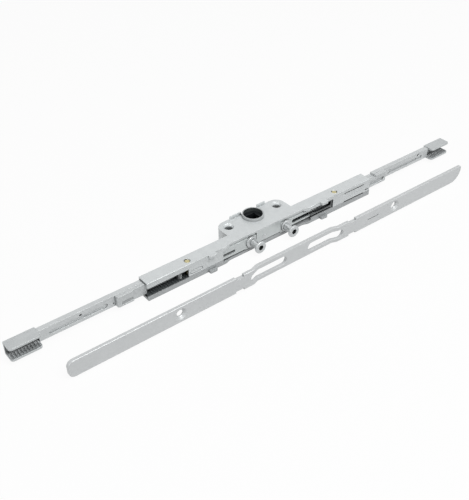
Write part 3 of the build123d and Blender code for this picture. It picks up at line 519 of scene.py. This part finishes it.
@dataclass(frozen=True)
class EdgeRounding:
    """How far the outer arrises of a piece are rounded.

    A width that would fold a face over itself gives way to the next finer one.
    """

    widths: tuple[float, ...] = (0.15 * MM, 0.10 * MM, 0.06 * MM, 0.03 * MM)
    segments: int = 2
    profile: float = 0.5
    sharpest_smooth: float = math.radians(38)
    crease: float = math.radians(50)
    flat: float = math.radians(1.0)
    weld: float = 0.001 * MM
    speck: float = 0.0001 * MM
    fold_area: float = 0.1 * MM * MM

    def mesh(self, node: str, name: str) -> bpy.types.Mesh:
        """Copies a node's mesh with rounded arrises.

        Args:
            node: The node's name.
            name: The new mesh's name.

        Returns:
            The new mesh.
        """
        for width in self.widths:
            shape = self.rounded(node, width)
            if not self.folds(shape):
                break
            LOG.info("%s needs arrises finer than %.2f mm", node, width / MM)
        mesh = bpy.data.meshes.new(name)
        shape.to_mesh(mesh)
        shape.free()
        mesh.polygons.foreach_set("use_smooth", [True] * len(mesh.polygons))
        mesh.set_sharp_from_angle(angle=self.crease)
        return mesh

    def rounded(self, node: str, width: float) -> bmesh.types.BMesh:
        """Rounds the arrises of a node by one width.

        Args:
            node: The node's name.
            width: The width in metres.

        Returns:
            The rounded shape.
        """
        shape = bmesh.new()
        shape.from_mesh(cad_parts[node].data)
        bmesh.ops.remove_doubles(shape, verts=shape.verts, dist=self.weld)
        bmesh.ops.dissolve_limit(shape, angle_limit=self.flat, verts=shape.verts,
                                 edges=shape.edges)
        shape.normal_update()
        arrises = [edge for edge in shape.edges
                   if edge.is_manifold and edge.calc_face_angle_signed() > self.sharpest_smooth]
        bmesh.ops.bevel(shape, geom=arrises, offset=width, offset_type="OFFSET",
                        segments=self.segments, profile=self.profile, affect="EDGES",
                        clamp_overlap=False, loop_slide=True)
        bmesh.ops.dissolve_degenerate(shape, edges=shape.edges, dist=self.speck)
        shape.normal_update()
        shape.faces.index_update()
        return shape

    def folds(self, shape: bmesh.types.BMesh) -> bool:
        """Tells whether a face overlaps itself, so that its triangles cover too much.

        Args:
            shape: The rounded shape.

        Returns:
            Whether one of its faces is folded.
        """
        covered: dict[int, float] = {}
        for loops in shape.calc_loop_triangles():
            first, second, third = (loop.vert.co for loop in loops)
            face = loops[0].face.index
            area = (second - first).cross(third - first).length / 2
            covered[face] = covered.get(face, 0.0) + area
        return any(covered.get(face.index, 0.0) - face.calc_area() > self.fold_area
                   for face in shape.faces)


@dataclass
class SubAssembly:
    """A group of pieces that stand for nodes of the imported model."""

    body: str
    rounding: EdgeRounding = field(default_factory=EdgeRounding)

    def dress(self, node: str, finish: Finish, slot: str, *linings: Lining) -> bpy.types.Object:
        """Makes the rounded, finished piece that stands for a node.

        Args:
            node: The node's name.
            finish: The finish.
            slot: The record's material slot. It is not used.
            *linings: Other finishes for parts of the piece.

        Returns:
            The piece.
        """
        piece = add_object(f"{node}_piece", self.rounding.mesh(node, f"{node}_mesh"))
        weighted = piece.modifiers.new("weighted_normals", "WEIGHTED_NORMAL")
        weighted.keep_sharp = True
        piece.data.materials.append(material_of(finish))
        for lining in linings:
            lining.paint(piece.data)
        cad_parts[node].data.materials.clear()
        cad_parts[node].data.materials.append(material_of(finish))
        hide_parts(node)
        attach(piece, self.body)
        LOG.info("made %s on %s", piece.name, self.body)
        return piece


@dataclass
class GearCase(SubAssembly):
    """The two halves of the case with their rivets, the bridge and the glide strips."""

    body: str = "case"
    gauge_low: Point = (-66.6 * MM, -17.35 * MM, -8.9 * MM)
    gauge_high: Point = (-56.4 * MM, -17.15 * MM, -5.7 * MM)
    post_low: Point = (-74.7 * MM, -15.3 * MM, -12.0 * MM)
    post_high: Point = (-71.5 * MM, -12.1 * MM, -1.6 * MM)
    rim_low: Point = (39.9 * MM, -17.0 * MM, -8.5 * MM)
    rim_high: Point = (60.3 * MM, -15.9 * MM, -2.9 * MM)
    collar_low: Point = (-7.8 * MM, -7.8 * MM, 0.05 * MM)
    collar_high: Point = (7.8 * MM, 7.8 * MM, 2.2 * MM)
    bore_radius: float = 6.92 * MM
    bore_bottom: float = -14.0 * MM
    bore_top: float = 1.85 * MM

    def build(self) -> None:
        """Makes every fixed piece of the gearbox but the faceplate."""
        # Painted shade on the gauge mark, the hub collar and the bore's wall.
        gauge_shade = Lining(ENGRAVED_LINE_SHADE, self.gauge_low, self.gauge_high)
        collar = Lining(COLLAR_SHADE_ZINC, self.collar_low, self.collar_high)
        self.dress("upper_case", CAST_ZINC, "case_metal", gauge_shade, collar, self.bore())
        post = Lining(SHADED_ZINC, self.post_low, self.post_high)
        rim = Lining(SHADED_ZINC, self.rim_low, self.rim_high)
        self.dress("lower_case", DARKER_ZINC, "case_metal", post, rim)
        self.dress("case_rivets", BRASS, "brass")
        self.dress("centre_bridge", PRESSED_STEEL, "pressed_steel")
        self.dress("pinion_pin", TURNED_STEEL, "turned_steel")
        # The glides' black also stands in for the shade seen through the windows.
        self.dress("left_glide", BLACK_NYLON_AND_SHADE, "black_nylon")
        self.dress("right_glide", BLACK_NYLON_AND_SHADE, "black_nylon")

    def bore(self) -> Lining:
        """Gives the wall of the bore that the hub turns in a near-black painted shade.

        Returns:
            The lining of the bore.
        """
        reach = self.bore_radius
        return BoreLining(BORE_SHADE, (-reach, -reach, self.bore_bottom),
                          (reach, reach, self.bore_top), reach)


@dataclass
class Faceplate(SubAssembly):
    """The long plate that is lifted off the front."""

    body: str = "case"

    def build(self) -> None:
        """Makes the plate."""
        self.dress("faceplate", FACEPLATE_STEEL, "faceplate_steel")


@dataclass
class SpindleDrive(SubAssembly):
    """The hub that the spindle turns."""

    body: str = "hub"

    def build(self) -> None:
        """Makes the hub."""
        self.dress("follower_hub", BLACK_HUB, "black_hub")


@dataclass
class Reverser(SubAssembly):
    """The pinion that drives the second bar the other way."""

    body: str = "pinion"

    def build(self) -> None:
        """Makes the pinion."""
        self.dress("reversing_pinion", TURNED_STEEL, "turned_steel")


@dataclass
class LockingBar(SubAssembly):
    """One sliding bar with its rod, shoe, rivets and coupling.

    The panel lining paints shade into the sunk field of the left shoe, and the rib lining
    paints shade onto the ribbed floors of both couplings.
    """

    side: Side = Side.LEFT
    panel_low: Point = (-117.0 * MM, -15.0 * MM, -8.8 * MM)
    panel_high: Point = (-104.0 * MM, -14.8 * MM, -6.2 * MM)
    ribs_low: Point = (-200.0 * MM, -16.0 * MM, -9.7 * MM)
    ribs_high: Point = (200.0 * MM, -8.4 * MM, -8.0 * MM)

    def build(self) -> None:
        """Makes every piece that slides with the bar."""
        side = self.side.value
        # Painted shade in the left shoe's sunk panel.
        panel = Lining(DARKER_ZINC, self.panel_low, self.panel_high)
        # Painted shade on the couplings' ribbed floors.
        ribs = Lining(RIB_SHADE_ZINC, self.ribs_low, self.ribs_high)
        self.dress(f"{side}_drive_bar", PRESSED_STEEL, "pressed_steel")
        self.dress(f"{side}_rod", ROD_STEEL, "rod_steel")
        self.dress(f"{side}_shoe", DULL_ZINC, "shoe_metal", panel)
        self.dress(f"{side}_coupling", COUPLING_ZINC, "coupling_metal", ribs)
        self.dress(f"{side}_rod_rivets", TURNED_STEEL, "turned_steel")


@dataclass
class LockingCam(SubAssembly):
    """One eccentric bush with its stud, whose head has a hexagon socket with painted shade inside.
    """

    side: Side = Side.LEFT
    socket_radius: float = 2.1 * MM
    socket_depth: float = 2.0 * MM
    margin: float = 0.03 * MM

    def build(self) -> None:
        """Makes the bush and the stud."""
        side = self.side.value
        self.dress(f"{side}_cam_bush", TURNED_STEEL, "turned_steel")
        self.dress(f"{side}_cam_stud", TURNED_STEEL, "turned_steel", self.socket())

    def socket(self) -> Lining:
        """Gives the painted shade inside the socket, near black, found from the stud's box.

        Returns:
            The lining of the socket.
        """
        low, high = (Vector(corner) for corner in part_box(f"{self.side.value}_cam_stud"))
        middle = (low + high) / 2
        reach = self.socket_radius
        return Lining(SOCKET_SHADE,
                      (middle.x - reach, low.y + self.margin, middle.z - reach),
                      (middle.x + reach, low.y + self.socket_depth, middle.z + reach))


@dataclass(frozen=True)
class Viewpoint:
    """The camera at the photograph's viewing angle."""

    aim: Point = (-20.523 * MM, -5.007 * MM, -17.545 * MM)
    azimuth: float = math.radians(-37.65)
    elevation: float = math.radians(36.729)
    roll: float = math.radians(-0.824)
    distance: float = 529.674 * MM
    focal_length: float = 58.50
    sensor_width: float = 36.0
    nearest: float = 10.0 * MM

    def build(self) -> None:
        """Places the camera and makes it the scene's own."""
        flat = math.cos(self.elevation)
        back = Vector((math.sin(self.azimuth) * flat, -math.cos(self.azimuth) * flat,
                       math.sin(self.elevation)))
        level = Vector((math.cos(self.azimuth), math.sin(self.azimuth), 0.0))
        upright = back.cross(level)
        right = level * math.cos(self.roll) + upright * math.sin(self.roll)
        up = upright * math.cos(self.roll) - level * math.sin(self.roll)
        lens = bpy.data.cameras.new("camera")
        lens.sensor_fit = "HORIZONTAL"
        lens.sensor_width = self.sensor_width
        lens.lens = self.focal_length
        lens.clip_start = self.nearest
        camera = add_object("camera", lens)
        turn = Matrix((right, up, back)).transposed().to_4x4()
        camera.matrix_world = Matrix.Translation(Vector(self.aim) + back * self.distance) @ turn
        bpy.context.scene.camera = camera


@dataclass(frozen=True)
class Lamp:
    """A square soft lamp that points at the middle of the gearbox."""

    name: str
    place: Point
    size: float
    power: float

    def build(self) -> None:
        """Hangs the lamp."""
        light = bpy.data.lights.new(self.name, "AREA")
        light.size = self.size
        light.energy = self.power
        lamp = add_object(self.name, light)
        lamp.location = self.place
        lamp.rotation_euler = (-Vector(self.place)).to_track_quat("-Z", "Y").to_euler()


@dataclass(frozen=True)
class Studio:
    """A white table under soft lamps."""

    floor_size: float = 6.0
    floor_drop: float = 0.05 * MM
    world_strength: float = 0.28
    shadow_share: float = 0.06
    paper: Colour = (0.66, 0.66, 0.66)
    lamps: tuple[Lamp, ...] = (
        Lamp("key_lamp", place=(0.12, -0.60, 0.95), size=0.7, power=12.0),
        Lamp("side_lamp", place=(-1.0, -0.15, 0.45), size=0.6, power=3.0),
    )

    def build(self) -> None:
        """Lays the floor and lights the scene."""
        self.lay_floor()
        self.light_world()
        for lamp in self.lamps:
            lamp.build()
        bpy.context.scene.view_settings.view_transform = "Standard"

    def white_ray_mask(self, graph: NodeGraph) -> bpy.types.NodeSocket:
        """Gives 1 for rays that look at the background, straight, mirrored or refracted.

        Args:
            graph: The node tree of the floor or the world.

        Returns:
            The mask.
        """
        path = graph.add("LightPath")
        mask = path.outputs["Is Camera Ray"]
        for kind in ("Is Glossy Ray", "Is Transmission Ray"):
            either = graph.add("Math", operation="MAXIMUM")
            graph.link(mask, either.inputs[0])
            graph.link(path.outputs[kind], either.inputs[1])
            mask = either.outputs[0]
        return mask

    def lay_floor(self) -> None:
        """Lays a pale floor just under the gearbox, which keeps a faint shadow."""
        half = self.floor_size / 2
        level = CAD_BOUNDS[0][2] - self.floor_drop
        corners = [(x * half, y * half, level) for x, y in ((-1, -1), (1, -1), (1, 1), (-1, 1))]
        mesh = bpy.data.meshes.new("floor_mesh")
        mesh.from_pydata(corners, [], [(0, 1, 2, 3)])
        floor = add_object("floor", mesh)
        material = bpy.data.materials.new("white_floor")
        graph = NodeGraph(material)
        paper = graph.add("BsdfDiffuse")
        paper.inputs["Color"].default_value = (*self.paper, 1.0)
        white = graph.add("Emission")
        white.inputs["Color"].default_value = WHITE
        share = graph.span(self.white_ray_mask(graph), 0.0, 1.0 - self.shadow_share)
        graph.finish(graph.choose(share, paper, white))
        mesh.materials.append(material)

    def light_world(self) -> None:
        """Fills the room with even light and a white background."""
        world = bpy.data.worlds.new("studio")
        graph = NodeGraph(world)
        even = graph.add("Background")
        even.inputs["Color"].default_value = WHITE
        even.inputs["Strength"].default_value = self.world_strength
        white = graph.add("Background")
        white.inputs["Color"].default_value = WHITE
        graph.finish(graph.choose(self.white_ray_mask(graph), even, white), "OutputWorld")
        bpy.context.scene.world = world


def main() -> None:
    """Builds the sub-assemblies in order, then the studio around them."""
    logging.basicConfig(level=logging.INFO, format="%(name)s: %(message)s")
    Viewpoint().build()
    GearCase().build()
    SpindleDrive().build()
    Reverser().build()
    for side in Side:
        LockingBar(f"{side.value}_slide", side=side).build()
        LockingCam(f"{side.value}_cam", side=side).build()
    Faceplate().build()
    Studio().build()


if __name__ == "__main__":
    main()
